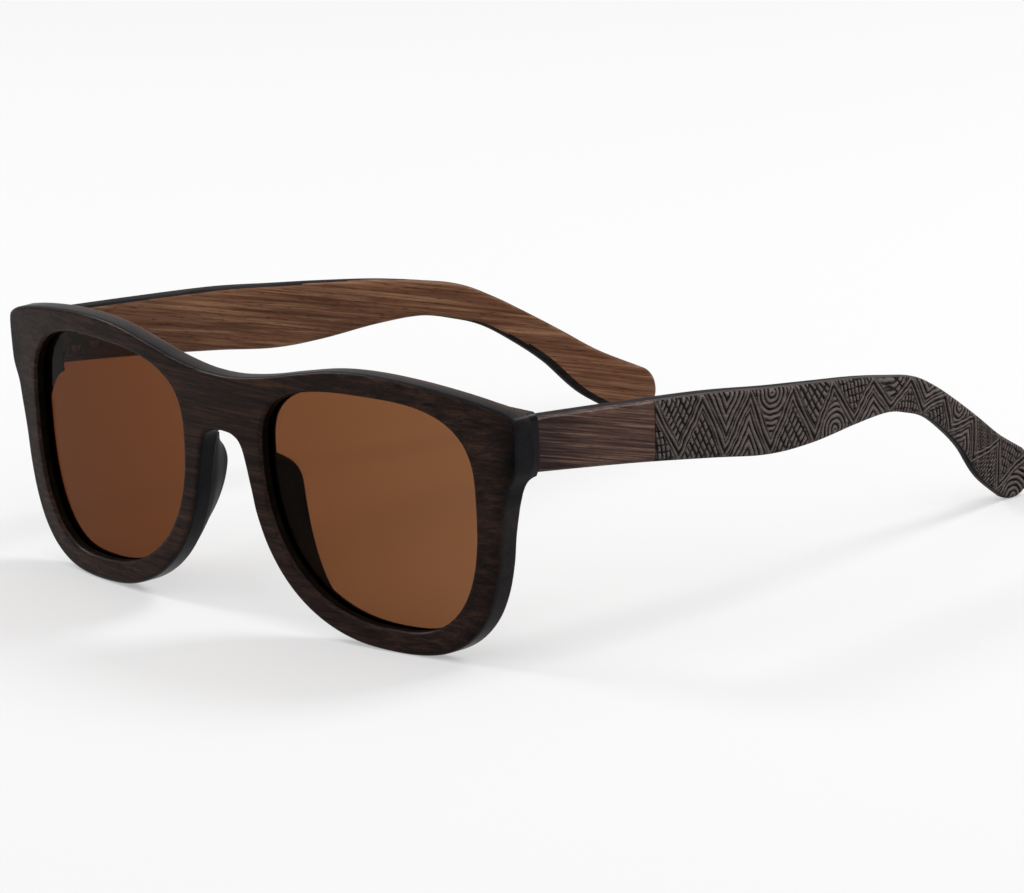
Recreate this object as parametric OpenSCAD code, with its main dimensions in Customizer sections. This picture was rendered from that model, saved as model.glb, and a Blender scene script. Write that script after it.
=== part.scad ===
// Wooden sunglasses: a milled wooden front with two sprung-in lenses, glued nose pads and
// endpiece blocks, and two bent wooden temples on spring hinges. The glasses stand on a table
// as they do when open: on the bottoms of both rims and the two temple tips. Millimetres, +Z up,
// the front faces -Y, the wearer's left side is +X.

/* [Lenses] */
// Width of each lens opening
lens_w = 51.6; // [49:0.1:54]
// Height of each lens opening
lens_h = 42.4; // [40:0.1:45]
// Distance between the two lens openings
lens_gap = 22.6; // [21:0.1:24]
// Distance from the nose side of the opening to its highest point
lens_peak = 26.8; // [24:0.1:30]
// Distance from the nose side of the opening to its lowest point
lens_low = 31.8; // [29:0.1:35]
// Height of the widest point on the nose side above the opening's lowest point
lens_nose_z = 28.8; // [26:0.1:31]
// Height of the widest point on the temple side above the opening's lowest point
lens_side_z = 26.3; // [24:0.1:29]
// Thickness of the lens
lens_t = 1.3; // [1:0.1:1.5]
// Depth of the lens behind the front face
lens_set = 2; // [1.6:0.1:2.2]
// Depth of the groove that holds the lens edge
groove_d = 0.9; // [0.6:0.1:1.2]

/* [Wooden front] */
// Thickness of the front, from its face to its back
front_t = 4.2; // [4.2:0.1:5]
// Radius of the curve across the face
face_r = 303; // [240:1:400]
// Rounding of the front's edges
edge_r = 0.8; // [0.4:0.1:1]
// Width of the rim under the lens
rim_low = 4.3; // [3.6:0.1:5]
// Width of the rim on the nose side
rim_nose = 4.3; // [3.6:0.1:5]
// Width of the rim on the temple side
rim_side = 5.2; // [4.6:0.1:5.8]
// Extra width of the rim at its lower temple corner
rim_corner = 0.7; // [0.4:0.1:1]
// Width of the wing outside the lens opening
wing_w = 9.6; // [9.2:0.1:10.4]
// Height of the brow above the lens opening
brow_h = 4.3; // [3.6:0.1:5]
// Fall of the brow line to the middle of the bridge
bridge_dip = 5; // [4:0.1:6]
// Height of the bridge at its middle
bridge_h = 10.6; // [9:0.1:12]
// Half width of the nose arch under the bridge
arch_w = 5.6; // [5:0.1:6.2]
// Fall of the brow line to the wing's top corner
wing_drop = 4.3; // [3.6:0.1:5]
// Height of the wing's straight side
wing_h = 8.6; // [7.8:0.1:9.4]

/* [Nose pads and endpieces] */
// How far the nose pads stand out behind the front
pad_d = 5.4; // [4:0.1:6]
// Depth of the nose pads at their thin lower end
pad_end = 0.25; // [0.2:0.05:0.5]
// Distance from the front's outer corner back to the temple joint
end_depth = 5.8; // [5.8:0.1:6.6]
// Height of the endpiece block at the temple joint
end_h = 11.8; // [11.4:0.1:12.2]
// Length of the endpiece's tail, which tapers down the back of the rim
tail_len = 4; // [3:0.5:5]
// Fall of the hinge's middle below the wing's top corner
hinge_drop = 6.3; // [6:0.1:6.8]

/* [Temples] */
// Length of the temple from its joint to the tip, straight back
temple_len = 136; // [130:0.5:141]
// Thickness of the temple at its joint
temple_t = 4.4; // [4:0.1:5]
// Thickness of the temple at its tip
tip_t = 2.8; // [2.4:0.1:3.6]
// Rounding of the temple's long edges
temple_edge = 1; // [0.5:0.1:1.4]
// Height of the temple at its joint
temple_h = 10.1; // [9.6:0.1:10.4]
// Distance from the joint to the widest place
wide_at = 55; // [48:1:62]
// Height of the temple at its widest place
wide_h = 12.4; // [11.4:0.1:13.4]
// Distance from the joint to the ear bend
ear_at = 89; // [85:1:93]
// Fall of the temple's middle line down to the ear bend
ear_fall = 9.8; // [8.4:0.1:11.2]
// Height of the temple at the ear bend
neck_h = 6.9; // [6:0.1:8]
// Height of the tip
tip_h = 10.2; // [9.4:0.1:11]
// Distance from the joint to where the temple starts to curve inward
bow_at = 38; // [34:1:46]
// Radius of the inward curve
bow_r = 218; // [200:1:260]
// Outward slope of the temple, in mm per mm
splay = 0.018; // [0:0.002:0.03]

/* [Spring hinges] */
// Radius of the pivot screw
pin_r = 0.6; // [0.5:0.05:0.7]
// Radius of the hinge knuckles
knuckle_r = 1.3; // [1.2:0.05:1.4]
// Height of the slider's middle knuckle
knuckle_h = 1.8; // [1.6:0.1:2.2]
// Height of each outer knuckle
ear_h = 1.2; // [1:0.1:1.4]
// Thickness of the hinge plates
plate_t = 0.8; // [0.6:0.1:0.9]
// Width of the front hinge leaf
leaf_w = 3; // [2.8:0.1:3.2]
// Height of the front hinge leaf
leaf_h = 9.6; // [9.2:0.1:10]
// Distance from the temple's inner face to the pivot
pivot_in = 1.7; // [1.6:0.05:1.9]
// Distance from the joint back to the pivot
pivot_back = 1.5; // [1.5:0.05:1.8]
// Length of the spring box
box_len = 9; // [8.8:0.1:9.4]
// Width of the spring box across the temple
box_w = 3; // [2.9:0.1:3]
// Height of the spring box
box_h = 3.4; // [3.2:0.1:3.5]
// Wall at the front end of the spring box
box_wall = 1; // [0.8:0.1:1.2]
// Height of the screw-down flange under the box
flange_h = 2.3; // [2.3:0.05:2.4]
// Radius of the slider rod
rod_r = 0.5; // [0.4:0.05:0.55]
// Radius of the bore in the spring box
bore_r = 1.15; // [1.1:0.05:1.2]
// Radius of the rod nut
nut_r = 1; // [0.9:0.05:1.05]
// Length of the rod nut
nut_len = 1.2; // [1:0.1:1.5]
// Length of the box plug
plug_len = 1.2; // [1:0.1:1.4]
// Travel of the spring slider
slide_travel = 2; // [1.5:0.1:2.1]
// Wire diameter of the spring
wire_d = 0.36; // [0.3:0.02:0.38]
// Number of curls of the spring
curls = 5; // [4:1:5]
// Radius of the small wood screws
screw_r = 0.55; // [0.5:0.05:0.6]
// Radius of their countersunk heads
screw_head_r = 1.05; // [1:0.05:1.1]
// Length of the wood screws
screw_len = 2.8; // [2.4:0.1:3]

/* [Clearances] */
// Glue line between glued wooden pieces
glue = 0.05; // [0.03:0.01:0.1]
// Play of the lens in its groove, on each side
lens_play = 0.06; // [0.04:0.01:0.1]
// Gap between temple end and endpiece
joint_gap = 0.1; // [0.1:0.05:0.3]
// Radial play of pivot and rod
run_gap = 0.05; // [0.03:0.01:0.08]
// Play of screws and plates in their seats
seat_gap = 0.02; // [0.02:0.01:0.04]

/* [Hidden] */
$fn = 64;

// Lens opening, as four quarter superellipses between its extreme points
nose_x = lens_gap / 2;
side_x = nose_x + lens_w;
peak_x = nose_x + lens_peak;
low_x = nose_x + lens_low;
low_z = rim_low;
top_z = low_z + lens_h;
nose_z = low_z + lens_nose_z;
side_z = low_z + lens_side_z;
// Fullness of the four quarters: upper temple side, upper nose side, lower nose side, lower temple side
fullness = [2.95, 2.8, 2.3, 2.7];

// Heights and widths of the front
half_w = side_x + wing_w;
brow_z = top_z + brow_h;
bridge_z = brow_z - bridge_dip;
arch_z = bridge_z - bridge_h;
wing_z = brow_z - wing_drop;
wing_low_z = wing_z - wing_h;

// The whole stands with its middle over the origin
front_y = -(sag(half_w) + end_depth + joint_gap + temple_len) / 2;

// Joint and pivot
joint_y = face(half_w) + end_depth;
hinge_z = wing_z - hinge_drop;
end_top_z = wing_z - 0.2;
temple_in_x = half_w - 0.6 - temple_t;
pivot_x = temple_in_x - pivot_in;
pivot_y = joint_y + pivot_back;
tip_fall = hinge_z - tip_h / 2;

// Spring box along the temple's inner face
box_y = pivot_y + knuckle_r + 0.7;
box_end_y = box_y + box_len;
box_out_x = pivot_x + box_w / 2;
cavity_y = box_y + box_wall;
plug_y = box_end_y - plug_len;
nut_y = plug_y - 0.4 - slide_travel / 4 - nut_len;
flange_low_z = hinge_z - box_h / 2 - flange_h;
flange_screws_y = [box_y + 0.27 * box_len, box_y + 0.75 * box_len];
leaf_screw_z = knuckle_h / 2 + run_gap + ear_h + (leaf_h / 2 - knuckle_h / 2 - run_gap - ear_h) / 2;
leaf_in_x = pivot_x - leaf_w / 2;

// Depth of the front's curved face behind its middle, at distance x from the middle
function sag(x) = face_r - sqrt(face_r * face_r - x * x);
function face(x) = front_y + sag(x);

// Point of the lens opening at angle a: 0 temple side, 90 top, 180 nose side, 270 bottom
function sgn_pow(v, e) = sign(v) * pow(abs(v), e);
function lens_pt(a) = let (
    q = floor(((a + 360) % 360) / 90),
    cx = q < 2 ? peak_x : low_x,
    cz = q == 0 || q == 3 ? side_z : nose_z,
    rx = q == 0 || q == 3 ? side_x - cx : cx - nose_x,
    rz = q < 2 ? top_z - cz : cz - low_z,
    e = 2 / fullness[q]
) [cx + rx * sgn_pow(cos(a), e), cz + rz * sgn_pow(sin(a), e)];

// Outward normal of the lens opening at angle a
function unit(v) = v / norm(v);
function lens_normal(a) = let (d = lens_pt(a + 1) - lens_pt(a - 1)) unit([d[1], -d[0]]);
function lens_grown(a, d) = lens_pt(a) + d * lens_normal(a);

// Smooth curve through four neighbouring knots, at share f between the middle two
function blend(a, b, c, d, f) = b + 0.5 * f * (c - a + f * (2 * a - 5 * b + 4 * c - d
    + f * (3 * (b - c) + d - a)));
function knot(list, i) = list[max(0, min(len(list) - 1, i))];
function along(list, t) = let (i = min(floor(t), len(list) - 2))
    blend(knot(list, i - 1), knot(list, i), knot(list, i + 1), knot(list, i + 2), t - i);

// Width of the rim at angle a, from the nose side over the bottom to the temple side
function rim_width(a) = a < 270
    ? rim_nose + (rim_low - rim_nose) * pow(sin(a - 180), 2)
    : rim_side + (rim_low - rim_side) * pow(cos(a - 270), 2) + rim_corner * pow(sin(2 * (a - 270)), 2);

// Brow line: a wave from the bridge up to the peak, then a falling arc to the wing
function brow(x) = x < peak_x
    ? bridge_z + bridge_dip * (1 - cos(180 * x / peak_x)) / 2
    : brow_z - wing_drop * pow((x - peak_x) / (half_w - peak_x), 2);

// Outer outline of one half: angle at the lens and point, from the nose arch round to the bridge
arch_a = 176;
bridge_a = 510;
outline_knots = concat(
    [for (k = [[arch_a, 0, 0], [181, 0.58, 0.08], [186, 1, 0.464]])
        [k[0], k[1] * arch_w, arch_z - k[2] * arch_w]],
    [for (a = [191, 199, 210, 222, 234, 246, 258, 270, 282, 294, 306, 318, 330, 342, 352])
        concat([a], lens_grown(a, rim_width(a)))],
    [for (k = [[366, 0.3, -0.95], [374, 0.22, -0.57], [382, 0.05, -0.19], [389, 0, 0.25], [396, 0, 0.81],
            [400, 0.156, 1]])
        [k[0], half_w - k[1] * wing_w, wing_low_z + k[2] * wing_h]],
    [for (k = [[408, 0.83], [420, 0.6], [434, 0.32], [449, 0.04]])
        [k[0], peak_x + k[1] * (half_w - peak_x), brow(peak_x + k[1] * (half_w - peak_x))]],
    [for (k = [[462, 0.8], [475, 0.57], [488, 0.34], [500, 0.14], [bridge_a, 0]])
        [k[0], k[1] * peak_x, brow(k[1] * peak_x)]]);

// The same outline in equal steps between knots, each with its angle at the lens
steps = 3;
last_knot = len(outline_knots) - 1;
outline = [for (k = [0 : last_knot * steps]) along(outline_knots, k / steps)];
last_pt = len(outline) - 1;
function outline_xz(i) = [i == 0 || i == last_pt ? 0 : outline[i][1], outline[i][2]];
function outline_normal(i) = i == 0 ? [0, -1] : i == last_pt ? [0, 1]
    : let (d = outline_xz(i + 1) - outline_xz(i - 1)) unit([d[1], -d[0]]);
function outline_in(i, d) = outline_xz(i) - d * outline_normal(i);

// Rings across the bridge, where the two halves meet in the middle plane
bridge_rings = 6;
stations = last_pt + bridge_rings;
function station_angle(i) = i <= last_pt ? outline[i][0]
    : bridge_a + (i - last_pt) * (arch_a + 360 - bridge_a) / bridge_rings;
function station_outer(i, d) = i <= last_pt ? outline_in(i, d)
    : outline_in(last_pt, d) + (i - last_pt) / bridge_rings * (outline_in(0, d) - outline_in(last_pt, d));

// Cross-section of the rim: edge (0 lens side, 1 outer), distance in from that edge, depth
round_in = 0.3 * edge_r;
back_r = 0.4;
rim_section = [
    [0, edge_r, 0], [0, round_in, round_in], [0, 0, edge_r],
    [0, 0, lens_set - lens_play], [0, groove_d, lens_set - lens_play],
    [0, groove_d, lens_set + lens_t + lens_play], [0, 0, lens_set + lens_t + lens_play],
    [0, 0, front_t - back_r], [0, back_r, front_t],
    [1, edge_r, front_t], [1, round_in, front_t - round_in], [1, 0, front_t - edge_r],
    [1, 0, edge_r], [1, round_in, round_in], [1, edge_r, 0]];
// Rounding of the outer back edge, run out where the endpiece block is glued on
wing_a = 387;
function back_share(a) = max(0.1, min(1, abs(a - wing_a) / 10 - 1.2));
function rim_pt(i, s) = let (
    a = station_angle(i),
    k = s[0] == 1 && s[2] > front_t / 2 ? back_share(a) : 1,
    p = s[0] == 0 ? lens_grown(a, s[1]) : station_outer(i, k * s[1])
) [p[0], face(p[0]) + front_t - k * (front_t - s[2]), p[1]];

// Faces between rings of equal length, closed round each ring
function ring_faces(a, b, m) = [for (j = [0 : m - 1])
    let (k = (j + 1) % m) each [[a + j, a + k, b + k], [a + j, b + k, b + j]]];

// Solid through a row of rings, with flat ends
module loft(rings) {
    m = len(rings[0]);
    n = len(rings);
    polyhedron(
        [for (r = rings) each r],
        concat(
            [for (i = [0 : n - 2]) each ring_faces(i * m, (i + 1) * m, m)],
            [[for (j = [m - 1 : -1 : 0]) j], [for (j = [0 : m - 1]) (n - 1) * m + j]]),
        convexity = 6);
}

// The other side of the glasses
module side(right) {
    if (right) mirror([1, 0, 0]) children();
    else children();
}

// Cylinder between two places along Y
module rod_y(x, z, r, y0, y1) {
    translate([x, y0, z]) rotate([-90, 0, 0]) cylinder(r = r, h = y1 - y0);
}

// Flat shape in the front's view, drawn out from before the face to behind the joint
module through_front() {
    translate([0, joint_y + front_t, 0]) rotate([90, 0, 0])
        linear_extrude(joint_y - face(0) + 2 * front_t) children();
}

// Everything behind the front's back face
module behind_front(gap) {
    translate([0, face(0) + face_r + front_t + gap, 0]) cylinder(r = face_r, h = brow_z, $fn = 360);
}

// Wood screw with a countersunk head, its head's top at the origin, its shank along -Z
module wood_screw(gap) {
    head_h = screw_head_r - screw_r;
    rotate_extrude() polygon([[0, 0], [screw_head_r + gap, 0], [screw_r + gap, -head_h],
        [screw_r + gap, -screw_len - gap], [0, -screw_len - gap]]);
}
module leaf_screw_places() {
    for (s = [-1, 1]) translate([pivot_x, joint_y, hinge_z + s * leaf_screw_z]) rotate([-90, 0, 0])
        children();
}
module flange_screw_places() {
    for (y = flange_screws_y) translate([box_out_x, y, flange_low_z + flange_h / 2]) rotate([0, -90, 0])
        children();
}

// Wooden front: one ring of rim sections each side, joined in the middle plane
module front_frame() {
    m = len(rim_section);
    half = [for (i = [0 : stations - 1], s = rim_section) rim_pt(i, s)];
    count = len(half);
    in_middle = [for (i = [0 : stations - 1], s = rim_section) (i == 0 || i >= last_pt) && s[0] == 1];
    faces_left = [for (i = [0 : stations - 1]) each ring_faces(i * m, ((i + 1) % stations) * m, m)];
    shown = [for (f = faces_left) if (!(in_middle[f[0]] && in_middle[f[1]] && in_middle[f[2]])) f];
    faces_right = [for (f = shown) [for (k = [2, 1, 0]) in_middle[f[k]] ? f[k] : f[k] + count]];
    color([0.16, 0.1, 0.08])
        polyhedron(concat(half, [for (p = half) [-p[0], p[1], p[2]]]), concat(shown, faces_right),
            convexity = 10);
}

// Lens: the opening's outline grown into the groove, curved like the face
module lens(right) {
    grow = groove_d - lens_play;
    color([0.45, 0.27, 0.16, 0.6]) side(right) difference() {
        intersection() {
            through_front() polygon([for (a = [0 : 4 : 356]) lens_grown(a, grow)]);
            translate([0, face(0) + face_r + lens_set, 0]) cylinder(r = face_r, h = brow_z, $fn = 360);
        }
        translate([0, face(0) + face_r + lens_set + lens_t, -1])
            cylinder(r = face_r, h = brow_z + 2, $fn = 360);
    }
}
module lens_left() { lens(false); }
module lens_right() { lens(true); }

// Nose pad: a fin along the nose side of the rim, steep at the top and running out below
pad_from_angle = 184;
pad_to_angle = 244;
pad_rings = 18;
// Cross-section of the fin: share of the rim's width inward, share of the fin's depth
pad_section = [[0.16, 0], [0.3, 0.3], [0.52, 0.66], [0.7, 0.92], [0.8, 1], [0.88, 0.93], [0.9, 0.6],
    [0.9, 0]];
pad_peak = 0.12;
function pad_height(u) = pad_end + pad_d * sqrt(1 - pow(1 - min(1, u / pad_peak), 2))
    * min(1, (1 - u) / (1 - pad_peak));
// Place along the outline, and the outline's point, that belong to lens angle a
function angle_place(a, i = 0) = outline[i + 1][0] >= a
    ? i + (a - outline[i][0]) / (outline[i + 1][0] - outline[i][0])
    : angle_place(a, i + 1);
function outer_at(a) = let (t = angle_place(a), i = floor(t))
    outline_xz(i) + (t - i) * (outline_xz(i + 1) - outline_xz(i));
function pad_ring(u) = let (
    a = pad_from_angle + u * (pad_to_angle - pad_from_angle),
    o = outer_at(a),
    l = lens_pt(a)
) [for (s = pad_section) let (p = o + s[0] * (l - o))
        [p[0], face(p[0]) + front_t + glue + s[1] * pad_height(u), p[1]]];
module nose_pad(right) {
    color([0.13, 0.11, 0.1]) side(right) loft([for (k = [pad_rings : -1 : 0]) pad_ring(k / pad_rings)]);
}
module nose_pad_left() { nose_pad(false); }
module nose_pad_right() { nose_pad(true); }

// Endpiece block: fills the wing's back up to the temple joint and tapers down the back of the rim,
// with a seat for the hinge leaf. Side view of its underside: share of the depth, share of the tail
tail_curve = [[0.14, 0.02], [0.28, 0.07], [0.38, 0.14], [0.44, 0.22], [0.47, 0.48], [0.51, 1], [1, 1]];
module endpiece(right) {
    x0 = side_x + 0.6;
    low_z = end_top_z - end_h;
    depth = joint_y - face(x0) - front_t + 0.2;
    color([0.1, 0.1, 0.12]) side(right) difference() {
        intersection() {
            translate([x0, 0, 0]) rotate([90, 0, 90]) linear_extrude(half_w - x0) polygon(concat(
                [[joint_y - depth, end_top_z], [joint_y, end_top_z], [joint_y, low_z]],
                [for (t = tail_curve) [joint_y - t[0] * depth, low_z - t[1] * tail_len]]));
            through_front() polygon([for (i = [0 : last_pt]) outline_xz(i)]);
            behind_front(glue);
        }
        translate([leaf_in_x - seat_gap, joint_y - plate_t, hinge_z - leaf_h / 2 - seat_gap])
            cube([leaf_w + 2 * seat_gap, plate_t + 1, leaf_h + 2 * seat_gap]);
        leaf_screw_places() wood_screw(seat_gap);
    }
}
module endpiece_left() { endpiece(false); }
module endpiece_right() { endpiece(true); }

// Front hinge leaf: recessed plate with two knuckles round the pivot
module front_hinge(right) {
    low = knuckle_h / 2 + run_gap;
    color([0.25, 0.24, 0.23]) side(right) difference() {
        union() {
            translate([leaf_in_x, joint_y - plate_t, hinge_z - leaf_h / 2])
                cube([leaf_w, plate_t, leaf_h]);
            for (z = [hinge_z - low - ear_h, hinge_z + low]) {
                translate([pivot_x, pivot_y, z]) cylinder(r = knuckle_r, h = ear_h);
                translate([pivot_x - knuckle_r, joint_y - plate_t / 2, z])
                    cube([2 * knuckle_r, pivot_back + plate_t / 2, ear_h]);
            }
        }
        translate([pivot_x, pivot_y, hinge_z - leaf_h]) cylinder(r = pin_r + run_gap, h = 2 * leaf_h);
        leaf_screw_places() wood_screw(seat_gap);
    }
}
module front_hinge_left() { front_hinge(false); }
module front_hinge_right() { front_hinge(true); }

// Wood screws of both front hinge leaves
module front_hinge_screws() {
    color([0.7, 0.68, 0.62]) for (r = [false, true]) side(r) leaf_screw_places() wood_screw(0);
}

// Pivot screw: shank through all three knuckles, cheese head on top
module pivot_screw(right) {
    reach = knuckle_h / 2 + run_gap + ear_h;
    color([0.7, 0.68, 0.62]) side(right) translate([pivot_x, pivot_y, hinge_z]) {
        translate([0, 0, -reach]) cylinder(r = pin_r, h = 2 * reach + 0.1);
        translate([0, 0, reach + seat_gap]) cylinder(r = 1.7 * pin_r, h = 0.5);
    }
}
module pivot_screw_left() { pivot_screw(false); }
module pivot_screw_right() { pivot_screw(true); }

// Hinge slider: middle knuckle, square neck up to the box, round rod inside it
module hinge_slider(right) {
    color([0.28, 0.27, 0.25]) side(right) difference() {
        union() {
            translate([pivot_x, pivot_y, hinge_z - knuckle_h / 2]) cylinder(r = knuckle_r, h = knuckle_h);
            translate([pivot_x - 0.7 * knuckle_r, pivot_y, hinge_z - knuckle_h / 2])
                cube([1.4 * knuckle_r, box_y - seat_gap - pivot_y, knuckle_h]);
            rod_y(pivot_x, hinge_z, rod_r, box_y - 0.5, nut_y + nut_len);
        }
        translate([pivot_x, pivot_y, hinge_z - knuckle_h])
            cylinder(r = pin_r + run_gap, h = 2 * knuckle_h);
    }
}
module hinge_slider_left() { hinge_slider(false); }
module hinge_slider_right() { hinge_slider(true); }

// Nut on the end of the rod
module rod_nut(right) {
    color([0.6, 0.58, 0.5]) side(right) difference() {
        rod_y(pivot_x, hinge_z, nut_r, nut_y, nut_y + nut_len);
        rod_y(pivot_x, hinge_z, rod_r + seat_gap, nut_y - 1, nut_y + nut_len + 1);
    }
}
module rod_nut_left() { rod_nut(false); }
module rod_nut_right() { rod_nut(true); }

// Coil spring on the rod, between the box's front wall and the nut
coil_r = (rod_r + bore_r) / 2;
coil_from = cavity_y + seat_gap + wire_d / 2;
coil_to = nut_y - seat_gap - wire_d / 2;
curl_steps = 8;
coil_mid = [for (k = [0 : curls * curl_steps]) let (t = k / (curls * curl_steps), a = 360 * curls * t)
    [coil_r * cos(a), coil_from + t * (coil_to - coil_from), coil_r * sin(a)]];
coil_gap = min([for (i = [0 : len(coil_mid) - 1 - curl_steps], j = [i + curl_steps - 1 : i + curl_steps])
    norm(coil_mid[i] - coil_mid[j])]) - wire_d;
function coil_ring(k) = let (a = 360 * k / curl_steps, out = [cos(a), 0, sin(a)])
    [for (j = [0 : 5]) coil_mid[k] + wire_d / 2 * (cos(60 * j) * out + sin(60 * j) * [0, 1, 0])];
module hinge_spring(right) {
    echo(str("least gap between the curls of the hinge spring: ", coil_gap, " mm"));
    color([0.75, 0.75, 0.75]) side(right) translate([pivot_x, 0, hinge_z])
        loft([for (k = [len(coil_mid) - 1 : -1 : 0]) coil_ring(k)]);
}
module hinge_spring_left() { hinge_spring(false); }
module hinge_spring_right() { hinge_spring(true); }

// Spring box: bored block on a plate with a screw-down flange below it
module spring_box(right) {
    color([0.23, 0.22, 0.2]) side(right) difference() {
        union() {
            translate([pivot_x - box_w / 2, box_y, hinge_z - box_h / 2]) cube([box_w, box_len, box_h]);
            translate([box_out_x, box_y, flange_low_z]) cube([plate_t, box_len, box_h + flange_h]);
        }
        rod_y(pivot_x, hinge_z, rod_r + run_gap, box_y - 1, cavity_y + 1);
        rod_y(pivot_x, hinge_z, bore_r, cavity_y, box_end_y + 1);
        flange_screw_places() wood_screw(seat_gap);
    }
}
module spring_box_left() { spring_box(false); }
module spring_box_right() { spring_box(true); }

// Plug that closes the box behind the nut
module box_plug(right) {
    color([0.23, 0.22, 0.2]) side(right) rod_y(pivot_x, hinge_z, bore_r - seat_gap, plug_y, box_end_y);
}
module box_plug_left() { box_plug(false); }
module box_plug_right() { box_plug(true); }

// Wood screws of the flange
module box_screws(right) {
    color([0.7, 0.68, 0.62]) side(right) flange_screw_places() wood_screw(0);
}
module box_screws_left() { box_screws(false); }
module box_screws_right() { box_screws(true); }

// Temple: middle line as distance back from the joint, fall below the hinge, and height there
hook_len = temple_len - tip_h / 2 - ear_at;
hook_fall = tip_fall - ear_fall;
temple_knots = concat(
    [for (k = [[0, 0, 0], [0.4, 0.25, 0.4], [0.75, 0.5, 0.85], [1, 0.72, 1]])
        [k[0] * wide_at, k[1] * ear_fall, temple_h + k[2] * (wide_h - temple_h)]],
    [for (k = [[0.33, 0.82, 0.2], [0.7, 0.885, 0.65], [1, 1, 1]])
        [wide_at + k[0] * (ear_at - wide_at), k[1] * ear_fall, wide_h - k[2] * (wide_h - neck_h)]],
    [for (k = [[0.177, 0.075, -0.02], [0.329, 0.19, -0.24], [0.48, 0.355, -0.18], [0.637, 0.553, 0.08],
            [0.804, 0.798, 0.72], [1, 1, 1]])
        [ear_at + k[0] * hook_len, ear_fall + k[1] * hook_fall, neck_h + k[2] * (tip_h - neck_h)]]);
temple_steps = 3;
temple_last = (len(temple_knots) - 1) * temple_steps;
function temple_slope(k) = let (
    a = along(temple_knots, max(0, k - 1) / temple_steps),
    b = along(temple_knots, min(temple_last, k + 1) / temple_steps)
) atan2(b[1] - a[1], b[0] - a[0]);
// The tip ends in a half round: share of the way round it for each place past the last knot
tip_turns = [0, 18, 36, 52, 66, 78, 86];
function temple_turn(k) = tip_turns[max(0, k - temple_last)];
tip_slope = temple_slope(temple_last);
function temple_mid(k) = along(temple_knots, min(k, temple_last) / temple_steps)
    + tip_h / 2 * sin(temple_turn(k)) * [cos(tip_slope), sin(tip_slope), 0];
function temple_out_x(y) = temple_in_x + temple_t + splay * y - pow(max(0, y - bow_at), 2) / (2 * bow_r);
function temple_thick(y) = temple_t + (tip_t - temple_t) * min(1, max(0, y - bow_at) / (ear_at - bow_at));
// Ring at place k: rounded section, upright at the joint and square to the middle line further back
function temple_ring(k) = let (
    m = temple_mid(k),
    lean = temple_slope(min(k, temple_last)) * min(1, m[0] / wide_at),
    h = m[2] / 2 * cos(temple_turn(k)),
    r = min(temple_edge, 0.6 * h),
    w = temple_thick(m[0]) / 2
) [for (c = [[1, 1], [-1, 1], [-1, -1], [1, -1]], f = c[0] * c[1] > 0 ? [0, 1, 2] : [2, 1, 0])
    let (
        u = c[0] * (w - r + r * cos(45 * f)),
        v = c[1] * (h - r + r * sin(45 * f)),
        y = m[0] + v * sin(lean)
    ) [temple_out_x(m[0]) - w + u, joint_y + joint_gap + y, hinge_z - m[1] + v * cos(lean)]];
module temple(right) {
    color([0.24, 0.17, 0.13]) side(right) difference() {
        loft([for (k = [0 : temple_last + len(tip_turns) - 1]) temple_ring(k)]);
        translate([box_out_x - 2, joint_y - 1, flange_low_z - seat_gap])
            cube([plate_t + seat_gap + 2, box_end_y + seat_gap - joint_y + 1,
                box_h + flange_h + 2 * seat_gap]);
        flange_screw_places() wood_screw(seat_gap);
    }
}
module temple_left() { temple(false); }
module temple_right() { temple(true); }

front_frame();
lens_left();
lens_right();
nose_pad_left();
nose_pad_right();
endpiece_left();
endpiece_right();
front_hinge_left();
front_hinge_right();
front_hinge_screws();
pivot_screw_left();
pivot_screw_right();
hinge_slider_left();
hinge_slider_right();
rod_nut_left();
rod_nut_right();
hinge_spring_left();
hinge_spring_right();
spring_box_left();
spring_box_right();
box_plug_left();
box_plug_right();
box_screws_left();
box_screws_right();
temple_left();
temple_right();
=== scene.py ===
import math

import bmesh
import bpy
import numpy as np
from mathutils import Matrix, Vector


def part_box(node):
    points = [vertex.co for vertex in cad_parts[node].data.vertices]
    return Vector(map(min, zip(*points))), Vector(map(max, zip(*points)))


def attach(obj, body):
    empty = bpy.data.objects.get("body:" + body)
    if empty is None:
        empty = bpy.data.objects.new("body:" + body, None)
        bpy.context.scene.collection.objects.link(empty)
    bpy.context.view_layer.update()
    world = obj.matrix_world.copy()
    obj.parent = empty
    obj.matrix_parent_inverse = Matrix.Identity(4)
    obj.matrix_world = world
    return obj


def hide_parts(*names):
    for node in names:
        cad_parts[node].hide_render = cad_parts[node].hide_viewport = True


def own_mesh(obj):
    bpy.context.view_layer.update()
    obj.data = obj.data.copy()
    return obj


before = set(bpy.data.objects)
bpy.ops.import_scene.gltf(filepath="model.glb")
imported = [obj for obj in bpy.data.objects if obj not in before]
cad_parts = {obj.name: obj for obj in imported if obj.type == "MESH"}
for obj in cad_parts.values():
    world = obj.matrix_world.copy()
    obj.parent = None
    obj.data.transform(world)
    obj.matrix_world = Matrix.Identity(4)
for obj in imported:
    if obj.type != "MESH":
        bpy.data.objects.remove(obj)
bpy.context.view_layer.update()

# Wooden front: one board of dark stained hardwood, curved across the face. Both lens openings are
# milled through it with a groove for the lens edge, its edges are rounded over, and it is sanded
# and rubbed with satin oil. All sizes are millimetres, in the frame of the solids.
front_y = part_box("front_frame")[0].y * 1000
front_t, face_r, edge_r, back_r = 4.2, 303.0, 0.8, 0.4
half_w, wing_w, wing_h = 72.5, 9.6, 8.6
peak_x, peak_z = 38.1, 51.0
bridge_z, arch_z, arch_w = 46.0, 35.4, 5.6
wing_z, wing_low_z, wing_a = 46.7, 38.1, 387.0
hole_temple_x, hole_nose_x, hole_top_z, hole_low_z = 62.9, 11.3, 46.7, 4.3
hole_low_x, hole_temple_z, hole_nose_z = 43.1, 30.6, 33.1
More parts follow.
